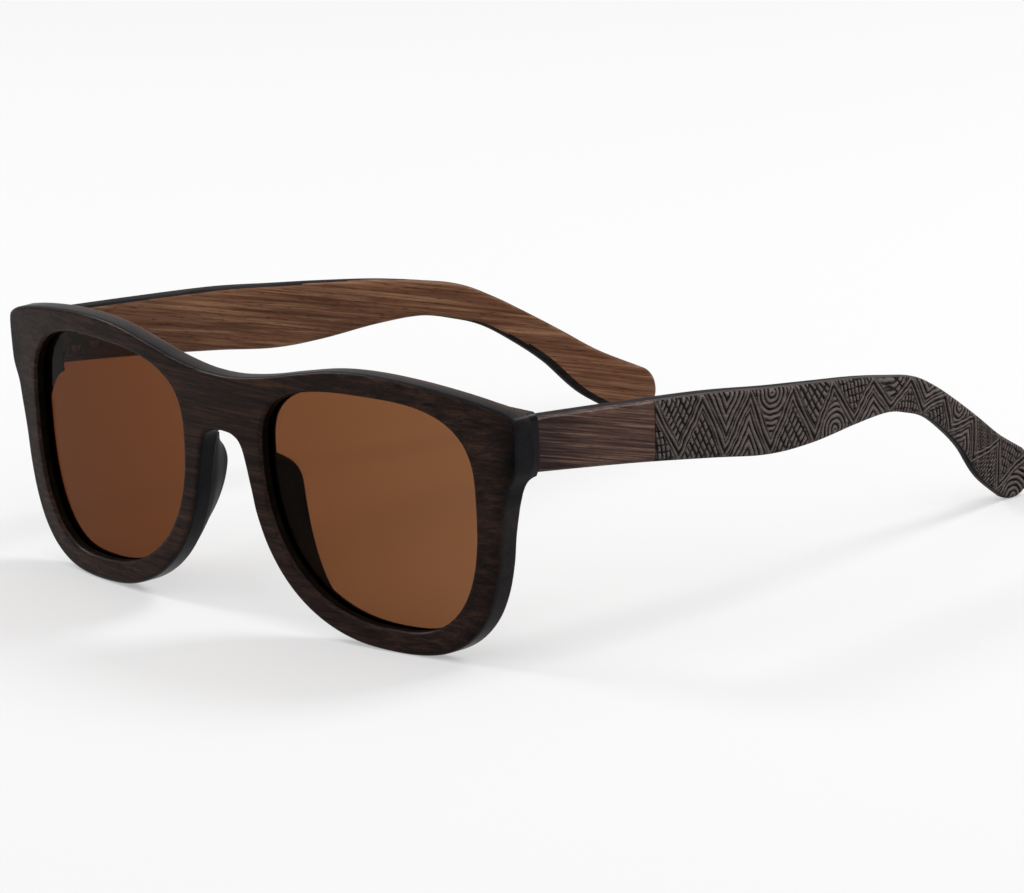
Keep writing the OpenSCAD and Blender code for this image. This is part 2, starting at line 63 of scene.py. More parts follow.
hole_squareness = np.array([2.95, 2.8, 2.3, 2.7])
lens_set, lens_t, lens_play, groove_d = 2.0, 1.3, 0.06, 0.9
rim_w, rim_low_less, rim_corner_more = 5.2, 0.9, 0.7
under_wing_more, under_wing_a, under_wing_span = 0.4, 352, 9


def face(x):
    """Place of the front's curved face at distance x from the middle"""
    return front_y + face_r - np.sqrt(face_r ** 2 - x ** 2)


def opening(angle):
    """Lens opening at an angle in degrees: 0 temple side, 90 top, 180 nose side, 270 bottom"""
    a = np.asarray(angle, float) % 360
    quarter = np.minimum(a // 90, 3).astype(int)
    temple_side = (quarter == 0) | (quarter == 3)
    mid_x = np.where(quarter < 2, peak_x, hole_low_x)
    mid_z = np.where(temple_side, hole_temple_z, hole_nose_z)
    reach_x = np.where(temple_side, hole_temple_x - mid_x, mid_x - hole_nose_x)
    reach_z = np.where(quarter < 2, hole_top_z - mid_z, mid_z - hole_low_z)
    power = 2 / hole_squareness[quarter]
    c, s = np.cos(np.radians(a)), np.sin(np.radians(a))
    return np.stack([mid_x + reach_x * np.sign(c) * abs(c) ** power,
                     mid_z + reach_z * np.sign(s) * abs(s) ** power], -1)


def outward(ahead):
    """Unit normal on the right-hand side of a direction of travel"""
    n = np.stack([ahead[..., 1], -ahead[..., 0]], -1)
    return n / np.linalg.norm(n, axis=-1, keepdims=True)


def opening_grown(angle, by):
    """Lens opening made larger by an even width, or smaller where that is negative"""
    a = np.asarray(angle, float)
    return opening(a) + by * outward(opening(a + 1) - opening(a - 1))


def through(knots, t):
    """Smooth curve through knots, at places counted in knots"""
    k = np.asarray(knots, float)
    i = np.clip(np.floor(t).astype(int), 0, len(k) - 2)
    f = (t - i)[:, None]
    a, b, c, d = (k[np.clip(i + s, 0, len(k) - 1)] for s in (-1, 0, 1, 2))
    return b + 0.5 * f * (c - a + f * (2 * a - 5 * b + 4 * c - d + f * (3 * (b - c) + d - a)))


def rim_width(a):
    """Width of the rim from the nose side over the bottom to the temple side"""
    side = math.radians(max(0, a - 270))
    width = rim_w - rim_low_less * math.cos(side) ** 2 + rim_corner_more * math.sin(2 * side) ** 2
    return width + under_wing_more * math.exp(-((a - under_wing_a) / under_wing_span) ** 2)


def brow(x):
    """Height of the brow line: a wave up from the bridge, then a falling arc to the wing"""
    if x < peak_x:
        return bridge_z + (peak_z - bridge_z) * (1 - math.cos(math.pi * x / peak_x)) / 2
    return peak_z - (peak_z - wing_z) * ((x - peak_x) / (half_w - peak_x)) ** 2


# Outline of one half, as angle round the opening, x and z: from the nose arch under the rim and up to
# the wing, then back along the brow to the middle
outline_knots = []
for a, out, fall in ((176, 0, 0), (181, 0.58, 0.08), (186, 1, 0.464)):
    outline_knots.append((a, out * arch_w, arch_z - fall * arch_w))
for a in (191, 199, 210, 222, 234, 246, 258, 270, 282, 294, 306, 318, 330, 342, 352):
    outline_knots.append((a, *opening_grown(a, rim_width(a))))
for a, inset, rise in ((366, 0.3, -0.95), (374, 0.22, -0.57), (382, 0.05, -0.19), (389, 0, 0.25),
                       (396, 0, 0.81), (400, 0.156, 1)):
    outline_knots.append((a, half_w - inset * wing_w, wing_low_z + rise * wing_h))
for a, share in ((408, 0.83), (420, 0.6), (434, 0.32), (449, 0.04)):
    x = peak_x + share * (half_w - peak_x)
    outline_knots.append((a, x, brow(x)))
for a, share in ((462, 0.8), (475, 0.57), (488, 0.34), (500, 0.14), (510, 0)):
    outline_knots.append((a, share * peak_x, brow(share * peak_x)))

last_knot, steps_a_knot = len(outline_knots) - 1, 6
outline = through(outline_knots, np.linspace(0, last_knot, steps_a_knot * last_knot + 1))
outline[[0, -1], 1] = 0
outline_ahead = np.gradient(outline[:, 1:], axis=0)
outline_out = outward(outline_ahead)
outline_out[0], outline_out[-1] = (0, -1), (0, 1)

# Stations round one half: along the outline, then down the middle of the bridge and back to its start
bridge_share = np.linspace(0, 1, 10)[1:, None]
first_a, last_a = outline[[0, -1], 0]
station_a = np.concatenate([outline[:, 0], last_a + bridge_share[:, 0] * (first_a + 360 - last_a)])


def station_outer(inset):
    """Outer edge of the front at each station, drawn in by an inset"""
    drawn_in = np.broadcast_to(inset, len(station_a))[:len(outline), None]
    at_edge = outline[:, 1:] - drawn_in * outline_out
    return np.concatenate([at_edge, at_edge[-1] + bridge_share * (at_edge[0] - at_edge[-1])])


# Rim section: share of the way from opening to outer edge, insets at both, depth, finish; the finish
# inside the opening is painted shade
satin_face, rim_wall, recess_shade = 0, 1, 2
turn = np.radians(np.linspace(0, 90, 7))
rim_section = []
for k, t in enumerate(turn):
    inset, depth = edge_r * (1 - math.sin(t)), edge_r * (1 - math.cos(t))
    rim_section.append((0, inset, 0, depth, satin_face if k < 5 else recess_shade))
groove_front, groove_back = lens_set - lens_play, lens_set + lens_t + lens_play
for depth, cuts in ((groove_front, (0, groove_d)), (groove_back, (groove_d, 0))):
    rim_section += [(0, cut, 0, depth, recess_shade) for cut in cuts]
for t in turn[::2]:
    inset, depth = back_r * (1 - math.cos(t)), front_t - back_r * (1 - math.sin(t))
    rim_section.append((0, inset, 0, depth, recess_shade))
rim_section += [(f, back_r, edge_r, front_t, satin_face) for f in (0.25, 0.5, 0.75)]
for t in turn:
    inset, depth = edge_r * (1 - math.sin(t)), front_t - edge_r * (1 - math.cos(t))
    rim_section.append((1, 0, inset, depth, rim_wall))
rim_section.append((1, 0, 0, front_t / 2, rim_wall))
for k, t in enumerate(turn):
    inset, depth = edge_r * (1 - math.cos(t)), edge_r * (1 - math.sin(t))
    rim_section.append((1, 0, inset, depth, rim_wall if k < 3 else satin_face))
rim_section += [(f, edge_r, edge_r, 0, satin_face) for f in (0.85, 0.65, 0.5, 0.35, 0.15)]

# The back edge stays nearly square behind the wing, where the endpiece is glued on. The brow's upward
# edge is lightened towards the back, and the rim's side a little, as a painted highlight, and painted
# shade darkens the face over the wing's edge and along the side below it.
back_keep = np.clip(abs(station_a - wing_a) / 10 - 1.2, 0.1, 1)
side_from, side_to, side_highlight, side_shade, wing_shade_a, wing_shade_span = 262, 372, 0.36, 0.35, 386, 14
upward = np.concatenate([np.clip(outline_out[:, 1], 0, 1) ** 0.6, np.zeros(len(bridge_share))])
below_wing = np.clip((side_to - station_a) / 8, 0, 1) * np.clip((station_a - side_from) / 12, 0, 1)
wing_side = np.exp(-((station_a - wing_shade_a) / wing_shade_span) ** 2) + side_shade * below_wing
rim = np.zeros((len(station_a), len(rim_section) + 1, 3))
rubbed = np.zeros(rim.shape[:2])
stained = np.zeros(rim.shape[:2])
for j, (share, inset_in, inset_out, depth, _) in enumerate(rim_section):
    keep = back_keep if depth > front_t / 2 else 1.0
    p = (1 - share) * opening_grown(station_a, inset_in) + share * station_outer(keep * inset_out)
    at = front_t - keep * (front_t - depth) if share == 1 else depth
    rim[:, j] = np.stack([p[:, 0], face(p[:, 0]) + at, p[:, 1]], -1)
    # The brow's upward edge and the rim's side below the wing take a painted highlight
    if share == 1:
        rubbed[:, j] = np.maximum(upward * at / front_t, side_highlight * below_wing)
    # The face's outer part near the wing and below it takes painted shade, kept in the stained tone
    if depth < front_t / 2:
        stained[:, j] = wing_side * np.interp(share, (0.5, 0.85, 1), (0, 0.7, 1))
rim[:, -1] = rim[:, 0]


def wrapped_grid(name, points):
    """A grid with one corner at each of points[row, column], which are millimetres"""
    rows, columns = points.shape[:2]
    bpy.ops.object.select_all(action="DESELECT")
    bpy.ops.mesh.primitive_grid_add(x_subdivisions=columns - 1, y_subdivisions=rows - 1, size=0.1)
    piece = bpy.context.object
    piece.name = piece.data.name = name
    piece.data.vertices.foreach_set("co", (points * 0.001).astype(np.float32).ravel())
    piece.data.update()
    return piece


def pick(piece):
    """Selects a piece alone, and makes it the active one"""
    bpy.ops.object.select_all(action="DESELECT")
    piece.select_set(True)
    bpy.context.view_layer.objects.active = piece


def edit(piece, *steps):
    """Runs edit-mode operators on all of a piece"""
    pick(piece)
    bpy.ops.object.mode_set(mode="EDIT")
    bpy.ops.mesh.select_mode(type="FACE")
    for step in steps:
        bpy.ops.mesh.select_all(action="SELECT")
        step()
    bpy.ops.object.mode_set(mode="OBJECT")


def merge():
    """Joins corners that lie on each other"""
    bpy.ops.mesh.remove_doubles(threshold=2e-6)


def face_out():
    """Turns all faces outwards"""
    bpy.ops.mesh.normals_make_consistent(inside=False)


def finished(piece, kind, **settings):
    """Adds a modifier and applies it"""
    pick(piece)
    modifier = piece.modifiers.new(kind.title(), kind)
    for name, value in settings.items():
        setattr(modifier, name, value)
    bpy.ops.object.modifier_apply(modifier=modifier.name)


def smoothed(piece, angle=32):
    """Smooth shading with crisp edges, flat faces kept flat"""
    pick(piece)
    bpy.ops.object.shade_smooth_by_angle(angle=math.radians(angle))
    finished(piece, "WEIGHTED_NORMAL", keep_sharp=True, weight=60)


wooden_front = wrapped_grid("wooden_front", rim)
# Painted highlight and painted shade, kept as tones on the front's corners
for name, tone in (("rubbed", rubbed), ("stained", stained)):
    edge_tone = wooden_front.data.attributes.new(name, "FLOAT", "POINT")
    edge_tone.data.foreach_set("value", tone.astype(np.float32).ravel())
rim_finish = np.tile([row[-1] for row in rim_section], len(rim) - 1)
wooden_front.data.polygons.foreach_set("material_index", rim_finish)
edit(wooden_front, merge)


def cut_middle():
    """Takes away the faces that lie in the middle plane"""
    mesh = bmesh.from_edit_mesh(wooden_front.data)
    for f in mesh.faces:
        f.select_set(all(abs(v.co.x) < 1e-6 for v in f.verts))
    bpy.ops.mesh.delete(type="FACE")


edit(wooden_front, cut_middle)
finished(wooden_front, "MIRROR", use_clip=True, merge_threshold=3e-6)
edit(wooden_front, merge, face_out)


def stained_wood(name, along, dark, mid, warm, rough=(0.36, 0.5), gloss=0.035, streak=1.0, bent=False,
                 carved=False, edge=None):
    """Open-pored stained wood: long streaks along the grain, fine fibres, short dark pores

    along is the axis of the grain, or of the piece's own grain attribute if it is bent, carved paints the
    piece's cut relief with a grey highlight on the ridges and shade in the cuts, and edge names an
    attribute and the tones that its values give.
    """
    wood = bpy.data.materials.new(name)
    wood.use_nodes = True
    nodes, link = wood.node_tree.nodes, wood.node_tree.links.new
    shader = nodes["Principled BSDF"]
    if bent:
        grain_at = nodes.new("ShaderNodeAttribute")
        grain_at.attribute_name = "grain"
        place = grain_at.outputs["Vector"]
    else:
        place = nodes.new("ShaderNodeTexCoord").outputs["Object"]

    def grain(length, width, detail, distortion, offset):
        """Noise drawn out along the grain, of a length and width in millimetres"""
        sizes = [length if k == along else width for k in range(3)]
        stretch = nodes.new("ShaderNodeMapping")
        stretch.inputs["Scale"].default_value = [1000 / size for size in sizes]
        stretch.inputs["Location"].default_value = (offset, 1.7 * offset, 2.3 * offset)
        link(place, stretch.inputs["Vector"])
        noise = nodes.new("ShaderNodeTexNoise")
        noise.inputs["Scale"].default_value = 1
        noise.inputs["Detail"].default_value = detail
        noise.inputs["Distortion"].default_value = distortion
        link(stretch.outputs["Vector"], noise.inputs["Vector"])
        return noise.outputs["Fac"]

    def ramp(value, *stops):
        """Colours that a value runs through"""
        r = nodes.new("ShaderNodeValToRGB")
        while len(r.color_ramp.elements) < len(stops):
            r.color_ramp.elements.new(0.5)
        for e, (at, colour) in zip(r.color_ramp.elements, stops):
            e.position = at
            e.color = (*colour, 1)
        link(value, r.inputs["Fac"])
        return r.outputs["Color"]

    def blended(kind, share, a, b):
        """Two colours in one, each a link or a plain value"""
        m = nodes.new("ShaderNodeMix")
        m.data_type, m.blend_type = "RGBA", kind
        for socket, value in ((0, share), (6, a), (7, b)):
            if hasattr(value, "is_linked"):
                link(value, m.inputs[socket])
            else:
                m.inputs[socket].default_value = value
        return m.outputs[2]

    streaks = grain(length=26, width=1.5 * streak, detail=5, distortion=0.7, offset=3.1)
    bands = grain(length=60, width=7, detail=2, distortion=0.4, offset=8.6)
    fibres = grain(length=9, width=0.22, detail=3, distortion=0.2, offset=5.2)
    pores = grain(length=2.4, width=0.16, detail=1, distortion=0.0, offset=1.4)
    colour = ramp(streaks, (0.3, dark), (0.5, mid), (0.72, warm))
    cloudy = ramp(bands, (0.3, (0.55, 0.55, 0.58)), (0.7, (1.3, 1.25, 1.2)))
    colour = blended("MULTIPLY", 0.55, colour, cloudy)
    fine_lines = ramp(fibres, (0.3, (0.55, 0.55, 0.55)), (0.7, (1.35, 1.32, 1.3)))
    colour = blended("MULTIPLY", 0.5, colour, fine_lines)
    pore_mask = ramp(pores, (0.6, (1, 1, 1)), (0.72, (0.35, 0.35, 0.35)))
    colour = blended("MULTIPLY", 0.8, colour, pore_mask)
    if carved:
        way = nodes.new("ShaderNodeSeparateXYZ")
        link(place, way.inputs["Vector"])
        hinge_end = ramp(way.outputs["Y"], (0.002, (0.5, 0.53, 0.6)), (0.012, (1, 1, 1)))
        colour = blended("MULTIPLY", 1.0, colour, hinge_end)
        # Painted light on the carving: the carved zone is greyed as a painted highlight on its ridges,
        # then darkened with painted shade that deepens to near black at the bottom of the cuts and on the
        # edges beside them
        depth = nodes.new("ShaderNodeAttribute")
        depth.attribute_name = "carved"
        ridge_highlight_share = ramp(depth.outputs["Fac"], (0.06, (0, 0, 0)), (0.12, (0.85, 0.85, 0.85)))
        colour = blended("MIX", ridge_highlight_share, colour, (0.15, 0.127, 0.12, 1))
        tone = ramp(depth.outputs["Fac"], (0.12, (1, 1, 1)), (0.3, (0.8, 0.8, 0.8)),
                    (0.65, (0.1, 0.09, 0.09)), (1.0, (0.025, 0.025, 0.025)))
        colour = blended("MULTIPLY", 1.0, colour, tone)
        colour = blended("MULTIPLY", 0.7, colour, fine_lines)
    if edge:
        toned = nodes.new("ShaderNodeAttribute")
        toned.attribute_name = edge[0]
        colour = blended("MULTIPLY", 1.0, colour, ramp(toned.outputs["Fac"], *edge[1:]))
    link(colour, shader.inputs["Base Color"])
    spread = nodes.new("ShaderNodeMapRange")
    spread.inputs["To Min"].default_value, spread.inputs["To Max"].default_value = rough
    link(fibres, spread.inputs["Value"])
    link(spread.outputs["Result"], shader.inputs["Roughness"])
    bump = nodes.new("ShaderNodeBump")
    bump.inputs["Strength"].default_value = 0.25
    bump.inputs["Distance"].default_value = 0.00006
    ridges = ramp(fibres, (0.2, (0.4, 0.4, 0.4)), (0.8, (1, 1, 1)))
    link(blended("MULTIPLY", 1.0, pore_mask, ridges), bump.inputs["Height"])
    link(bump.outputs["Normal"], shader.inputs["Normal"])
    shader.inputs["Specular IOR Level"].default_value = gloss
    return wood


# Tones of the front's edges: the first darkens the face over the wing's edge and below it with painted
# shade, the second lightens the brow's upward edge and the rim's side with a painted highlight
shade_tones = ("stained", (0, (1, 1, 1)), (1, (0.1, 0.14, 0.16)))
highlight_tones = ("rubbed", (0.12, (0.7, 0.7, 0.7)), (0.5, (2, 1.6, 1.3)), (0.95, (5.1, 3.3, 2.5)))
front_wood = stained_wood("front_satin_wood", along=0, dark=(0.012, 0.0084, 0.0077),
                          mid=(0.0238, 0.0149, 0.0126), warm=(0.05, 0.0255, 0.0185),
                          rough=(0.2, 0.3), gloss=0.028, streak=0.55, edge=shade_tones)
rim_wall_wood = stained_wood("front_edge_wood", along=0, dark=(0.01, 0.0105, 0.0128),
                             mid=(0.0122, 0.0126, 0.0155), warm=(0.0165, 0.0165, 0.0185),
                             rough=(0.26, 0.36), gloss=0.05, edge=highlight_tones)
# The opening's inner wall, its groove and the back edge round it are near black: painted shade in the
# recess
recess_shade_wood = stained_wood("lens_recess_painted_shade", along=0, dark=(0.003, 0.0025, 0.002),
                           mid=(0.005, 0.004, 0.003), warm=(0.008, 0.006, 0.005), gloss=0.02)
for wood in (front_wood, rim_wall_wood, recess_shade_wood):
    wooden_front.data.materials.append(wood)
smoothed(wooden_front)
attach(wooden_front, "front")
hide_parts("front_frame")

# Lenses: brown tinted plastic, cut to the opening's outline, curved like the face and sprung into
# the groove, with a fine chamfer round the edge.
lens_a = np.linspace(0, 360, 145)
lens_mid = np.array([38.6, 26.4])
grow, chamfer = groove_d - lens_play, 0.15
lens_section = [(f, 0.0, 0.0) for f in np.linspace(0, 0.96, 13)]
lens_section += [(1, -chamfer, 0.0), (1, 0.0, chamfer), (1, 0.0, lens_t - chamfer), (1, -chamfer, lens_t)]
lens_section += [(f, 0.0, lens_t) for f in np.linspace(0.96, 0, 13)]


def other_side(piece, name):
    """The mirrored twin of a piece, with its own mesh"""
    twin = bpy.data.objects.new(name, piece.data.copy())
    twin.data.name = name
    bpy.context.scene.collection.objects.link(twin)
    twin.data.transform(Matrix.Scale(-1, 4, Vector((1, 0, 0))))
    twin.data.flip_normals()
    return twin


lens_points = np.zeros((len(lens_a), len(lens_section), 3))
for j, (f, inset, depth) in enumerate(lens_section):
    p = lens_mid + f * (opening_grown(lens_a, grow + inset) - lens_mid)
    lens_points[:, j] = np.stack([p[:, 0], face(p[:, 0]) + lens_set + depth, p[:, 1]], -1)
tinted_left = wrapped_grid("tinted_lens_left", lens_points)
edit(tinted_left, merge, face_out)
tinted_right = other_side(tinted_left, "tinted_lens_right")

lens_plastic = bpy.data.materials.new("brown_lens_plastic")
lens_plastic.use_nodes = True
nodes, link = lens_plastic.node_tree.nodes, lens_plastic.node_tree.links.new
shader = nodes["Principled BSDF"]
shader.inputs["Base Color"].default_value = (1, 0.98, 0.95, 1)
shader.inputs["Transmission Weight"].default_value = 1
shader.inputs["Roughness"].default_value = 0.0
shader.inputs["IOR"].default_value = 1.09
tint = nodes.new("ShaderNodeVolumeAbsorption")
tint.inputs["Color"].default_value = (0.574, 0.34, 0.112, 1)
tint.inputs["Density"].default_value = 2240
link(tint.outputs["Volume"], nodes["Material Output"].inputs["Volume"])
for lens, side in ((tinted_left, "left"), (tinted_right, "right")):
    lens.data.materials.append(lens_plastic)
    smoothed(lens, angle=25)
    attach(lens, "front")
    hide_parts("lens_" + side)

# Nose pads: two carved wooden fins, glued to the back of the rim beside the nose. Each is steep at
# its top, sanded flush with the rim's wall towards the nose, and runs out to a thin edge below.
pad_from, pad_to, pad_d, pad_end, pad_peak, glue = 184.0, 244.0, 5.4, 0.25, 0.12, 0.05
pad_run, pad_fullness, pad_inmost, flush_top, flush_low = 0.84, 1.5, 0.905, 0.03, 0.25
pad_curve = [(0.52, 0.66), (0.7, 0.92), (0.8, 1), (0.88, 0.93), (0.9, 0.6), (0.9, 0)]
pad_u = np.concatenate([np.linspace(0, 0.14, 15)[:-1], np.linspace(0.14, 1, 46)])
pad_a = pad_from + pad_u * (pad_to - pad_from)
rise = np.sqrt(np.maximum(0, 1 - (1 - np.minimum(1, pad_u / pad_peak)) ** 2))
fall = 1 - np.clip((pad_u - pad_peak) / (pad_run * (1 - pad_peak)), 0, 1) ** pad_fullness
pad_height = pad_end + pad_d * rise * fall
pad_outer = np.stack([np.interp(pad_a, outline[:, 0], outline[:, k]) for k in (1, 2)], -1)
pad_inward = opening(pad_a) - pad_outer
flush = np.clip(np.minimum(pad_u / flush_top, (1 - pad_u) / flush_low), 0, 1)
pad_rows = []
for width, height, part in zip(np.linalg.norm(pad_inward, axis=1), pad_height, flush):
    seat_turn = np.radians(np.linspace(90, 90 * (1 - part), 5))
    seat = np.stack([edge_r * (1 - np.cos(seat_turn)) / width, edge_r * (np.sin(seat_turn) - 1)], -1)
    fin_side = [(inward, share * height) for inward, share in pad_curve]
    bend = seat[-1] + (0.32, 0.43) * (np.array(fin_side[0]) - seat[-1])
    knots = [seat[-1], bend] + fin_side
    fin = through(knots, np.linspace(0, len(knots) - 1, 33))
    fin[:, 0] = np.clip(fin[:, 0], seat[-1, 0], pad_inmost)
    fin[-1, 1] = 0
    pad_rows.append(np.concatenate([fin, [(0.65, 0), (0.4, 0)], seat]))
pad_rows = np.array(pad_rows)
p = pad_outer[:, None] + pad_rows[..., :1] * pad_inward[:, None]
pad_y = face(p[..., 0]) + front_t + glue + pad_rows[..., 1]
pad_points = np.stack([p[..., 0], pad_y, p[..., 1]], -1)


def capped(points):
    """Closes both ends of a row of rings with a fan of faces"""
    ends = [np.broadcast_to(points[k].mean(0), points[k].shape)[None] for k in (0, -1)]
    return np.concatenate([ends[0], points, ends[1]])


pad_left = wrapped_grid("nose_fin_left", capped(pad_points))
edit(pad_left, merge, face_out)
pad_right = other_side(pad_left, "nose_fin_right")
pad_wood = stained_wood("nose_pad_wood", along=2, dark=(0.0052, 0.0052, 0.0054),
                        mid=(0.0068, 0.0068, 0.0068), warm=(0.011, 0.0102, 0.0096),
                        rough=(0.34, 0.46), gloss=0.024)
for pad, side in ((pad_left, "left"), (pad_right, "right")):
    pad.data.materials.append(pad_wood)
    smoothed(pad, angle=40)
    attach(pad, "front")
    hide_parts("nose_pad_" + side)

# Endpieces: black stained wooden blocks glued behind the wings, each with a tail that tapers down the
# back of the rim. They carry the recessed hinge leaves, and are rounded over by hand.


def worked_copy(node, name, soften, behind=None):
    """A solid's own shape with its corners broken by a small round, all or those behind a place"""
    piece = bpy.data.objects.new(name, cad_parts[node].data.copy())
    piece.data.name = name
    piece.data.materials.clear()
    bpy.context.scene.collection.objects.link(piece)
    pick(piece)
    bpy.ops.mesh.customdata_custom_splitnormals_clear()
    edit(piece, merge, lambda: bpy.ops.mesh.dissolve_limited(angle_limit=math.radians(0.5)))
    corners = piece.vertex_groups.new(name="corners")
    for vertex in piece.data.vertices:
        corners.add([vertex.index], float(behind is None or vertex.co.y * 1000 > behind), "REPLACE")
    finished(piece, "BEVEL", width=soften * 0.001, segments=3, limit_method="ANGLE",
             vertex_group="corners", angle_limit=math.radians(35), use_clamp_overlap=True,
             harden_normals=False)
    piece.vertex_groups.clear()
    return piece


block_wood = stained_wood("endpiece_wood", along=0, dark=(0.0028, 0.003, 0.0042),
                          mid=(0.0038, 0.004, 0.0054), warm=(0.006, 0.006, 0.0075),
                          rough=(0.26, 0.36), gloss=0.11)
block_round, round_from_y = 0.7, face(half_w) + front_t + 0.6
tail_taper, tail_least, tail_draw_in = 3.4, 0.06, 0.09
for side in ("left", "right"):
    block = worked_copy("endpiece_" + side, "wing_block_" + side, block_round, round_from_y)
    corner_at = np.array([vertex.co for vertex in block.data.vertices]) * 1000
    tail_z = corner_at[:, 2].min()
    glued_y = face(corner_at[:, 0]) + front_t + glue
    tail_share = np.clip((corner_at[:, 2] - tail_z) / tail_taper, tail_least, 1)
    corner_at[:, 1] = glued_y + (corner_at[:, 1] - glued_y) * tail_share
    inner_x = abs(corner_at[:, 0]).min()
    drawn_in = 1 - tail_draw_in * (1 - tail_share)
    corner_at[:, 0] = np.sign(corner_at[:, 0]) * (inner_x + (abs(corner_at[:, 0]) - inner_x) * drawn_in)
    block.data.vertices.foreach_set("co", (corner_at * 0.001).astype(np.float32).ravel())
    block.data.update()
    block.data.materials.append(block_wood)
    smoothed(block, angle=35)
    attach(block, "front")
    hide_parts("endpiece_" + side)

# Temples: long arms cut from brown laminated wood, bowed inwards and bent down behind the ear. The
# outer face is smooth by the hinge and carved with close geometric relief from there to the tip. The
# inner face is plain and lighter, and the spring box is let into it.
joint_y, hinge_z, temple_in_x, temple_len = face(half_w) + 5.8, 40.4, 67.5, 136.0
temple_t, tip_t, temple_edge, bow_at, bow_r, splay, joint_gap = 4.4, 2.8, 1.0, 38.0, 218.0, 0.018, 0.1
wide_at, ear_at, ear_fall, temple_h, wide_h, neck_h, tip_h = 55.0, 89.0, 9.8, 10.1, 12.4, 6.9, 10.2
hook_len, hook_fall = temple_len - tip_h / 2 - ear_at, hinge_z - tip_h / 2 - ear_fall
temple_knots = [(d * wide_at, f * ear_fall, temple_h + g * (wide_h - temple_h))
                for d, f, g in ((0, 0, 0), (0.4, 0.25, 0.4), (0.75, 0.5, 0.85), (1, 0.72, 1))]
temple_knots += [(wide_at + d * (ear_at - wide_at), f * ear_fall, wide_h - g * (wide_h - neck_h))
                 for d, f, g in ((0.33, 0.82, 0.2), (0.7, 0.885, 0.65), (1, 1, 1))]
temple_knots += [(ear_at + d * hook_len, ear_fall + f * hook_fall, neck_h + g * (tip_h - neck_h))
                 for d, f, g in ((0.177, 0.075, -0.02), (0.329, 0.19, -0.24), (0.48, 0.355, -0.18),
                                 (0.637, 0.553, 0.08), (0.804, 0.798, 0.72), (1, 1, 1))]
last = len(temple_knots) - 1
carve_from, carve_lead, carve_step, tip_steps = 27.2, 0.3, 0.15, 45

# Stations along the arm, close together where it is carved, then round the half-round tip
fine = np.linspace(0, last, 6001)
line = through(temple_knots, fine)
run = np.concatenate([[0], np.cumsum(np.linalg.norm(np.diff(line[:, :2], axis=0), axis=1))])
plain_part = np.linspace(0, carve_from - carve_lead, 40)[:-1]
carved_part = np.arange(carve_from - carve_lead, run[-1] - 0.05, carve_step)
stations = np.concatenate([plain_part, carved_part])
tip_turn = np.radians(np.concatenate([np.zeros(len(stations)), np.linspace(0, 90, tip_steps)]))
stations = np.concatenate([stations, np.full(tip_steps, run[-1])])
t = np.interp(stations, run, fine)
mid = through(temple_knots, t)
before, after = (through(temple_knots, np.clip(t + s, 0, last)) for s in (-1 / 3, 1 / 3))
slope = np.arctan2(after[:, 1] - before[:, 1], after[:, 0] - before[:, 0])
lean = slope * np.minimum(1, mid[:, 0] / wide_at)
half_h = mid[:, 2] / 2

# Section: share across the arm, inset there, side of the arm from 1, outer, to -1, inner, and how far
# it is drawn in from that side, with both insets in units of the edge's rounding
corner = np.radians(np.linspace(0, 90, 6))
arm_section = [(f, 1.0, 1.0, 0.0) for f in np.linspace(-1, 1, 63)]
arm_section += [(1, 1 - math.sin(c), 1.0, 1 - math.cos(c)) for c in corner[1:]]
arm_section += [(1, 0.0, f, 1.0) for f in (0.33, -0.33)]
arm_section += [(1, 1 - math.cos(c), -1.0, 1 - math.sin(c)) for c in corner]
arm_section += [(f, 1.0, -1.0, 0.0) for f in np.linspace(1, -1, 13)[1:]]
arm_section += [(-1, 1 - math.sin(c), -1.0, 1 - math.cos(c)) for c in corner[1:]]
arm_section += [(-1, 0.0, f, 1.0) for f in (-0.33, 0.33)]
arm_section += [(-1, 1 - math.cos(c), 1.0, 1 - math.sin(c)) for c in corner]
across, inset, which, draw_in = np.array(arm_section).T
reach = half_h[:, None] - inset * temple_edge
v = across * reach * np.cos(tip_turn)[:, None]
ahead = reach * np.sin(tip_turn)[:, None]
thick = temple_t + (tip_t - temple_t) * np.clip((mid[:, 0] - bow_at) / (ear_at - bow_at), 0, 1)
u = which * (thick[:, None] / 2 - draw_in * temple_edge)
out_x = temple_in_x + temple_t + splay * mid[:, 0] - np.maximum(0, mid[:, 0] - bow_at) ** 2 / (2 * bow_r)


def groove(distance, width=0.29):
    """Rounded cut of depth 1 on a line, at a distance from it"""
    return np.clip(1.3 - abs(distance) / width, 0, 1)


def repeat(value, pitch):
    """Distance from the nearest of many lines, a pitch apart"""
    return (value / pitch - np.round(value / pitch)) * pitch


def hatched(bars, cross, cross_pitch=1.6):
    """Bars a millimetre apart, crossed by thinner cuts"""
    return np.maximum(groove(repeat(bars, 1.0)), groove(repeat(cross, cross_pitch), 0.2))


# Carving: a zigzag of double lines from edge to edge, and its triangles filled in turn with nested
# angles, slanting bars, uprights and arcs, all cut a little unevenly as by hand
face_h = half_h[:, None] - temple_edge
true_along = stations[:, None] + ahead - carve_from
along = true_along + 0.1 * np.sin(0.9 * v + 0.35 * true_along) + 0.05 * np.sin(2.3 * true_along + 1.3 * v)
level = v + 0.08 * np.sin(0.8 * true_along) + 0.05 * np.sin(2.7 * true_along + 0.9 * v)
zigzag_len, carve_depth, border = 11.4, 0.36, 1.15
phase = along / zigzag_len
zigzag = 4 * abs(phase - np.floor(phase) - 0.5) - 1
steep = 4 * face_h / zigzag_len
square = 1 / np.sqrt(1 + steep ** 2)
from_zigzag = (level - face_h * zigzag) * square
up_slant, down_slant = (level - steep * along) * square, (level + steep * along) * square
nested = groove(repeat(abs(from_zigzag) - 0.45, 1.05))
rising = hatched(up_slant, down_slant)
falling = hatched(down_slant, up_slant)
uprights = hatched(along + 0.18 * level, level, 1.3)
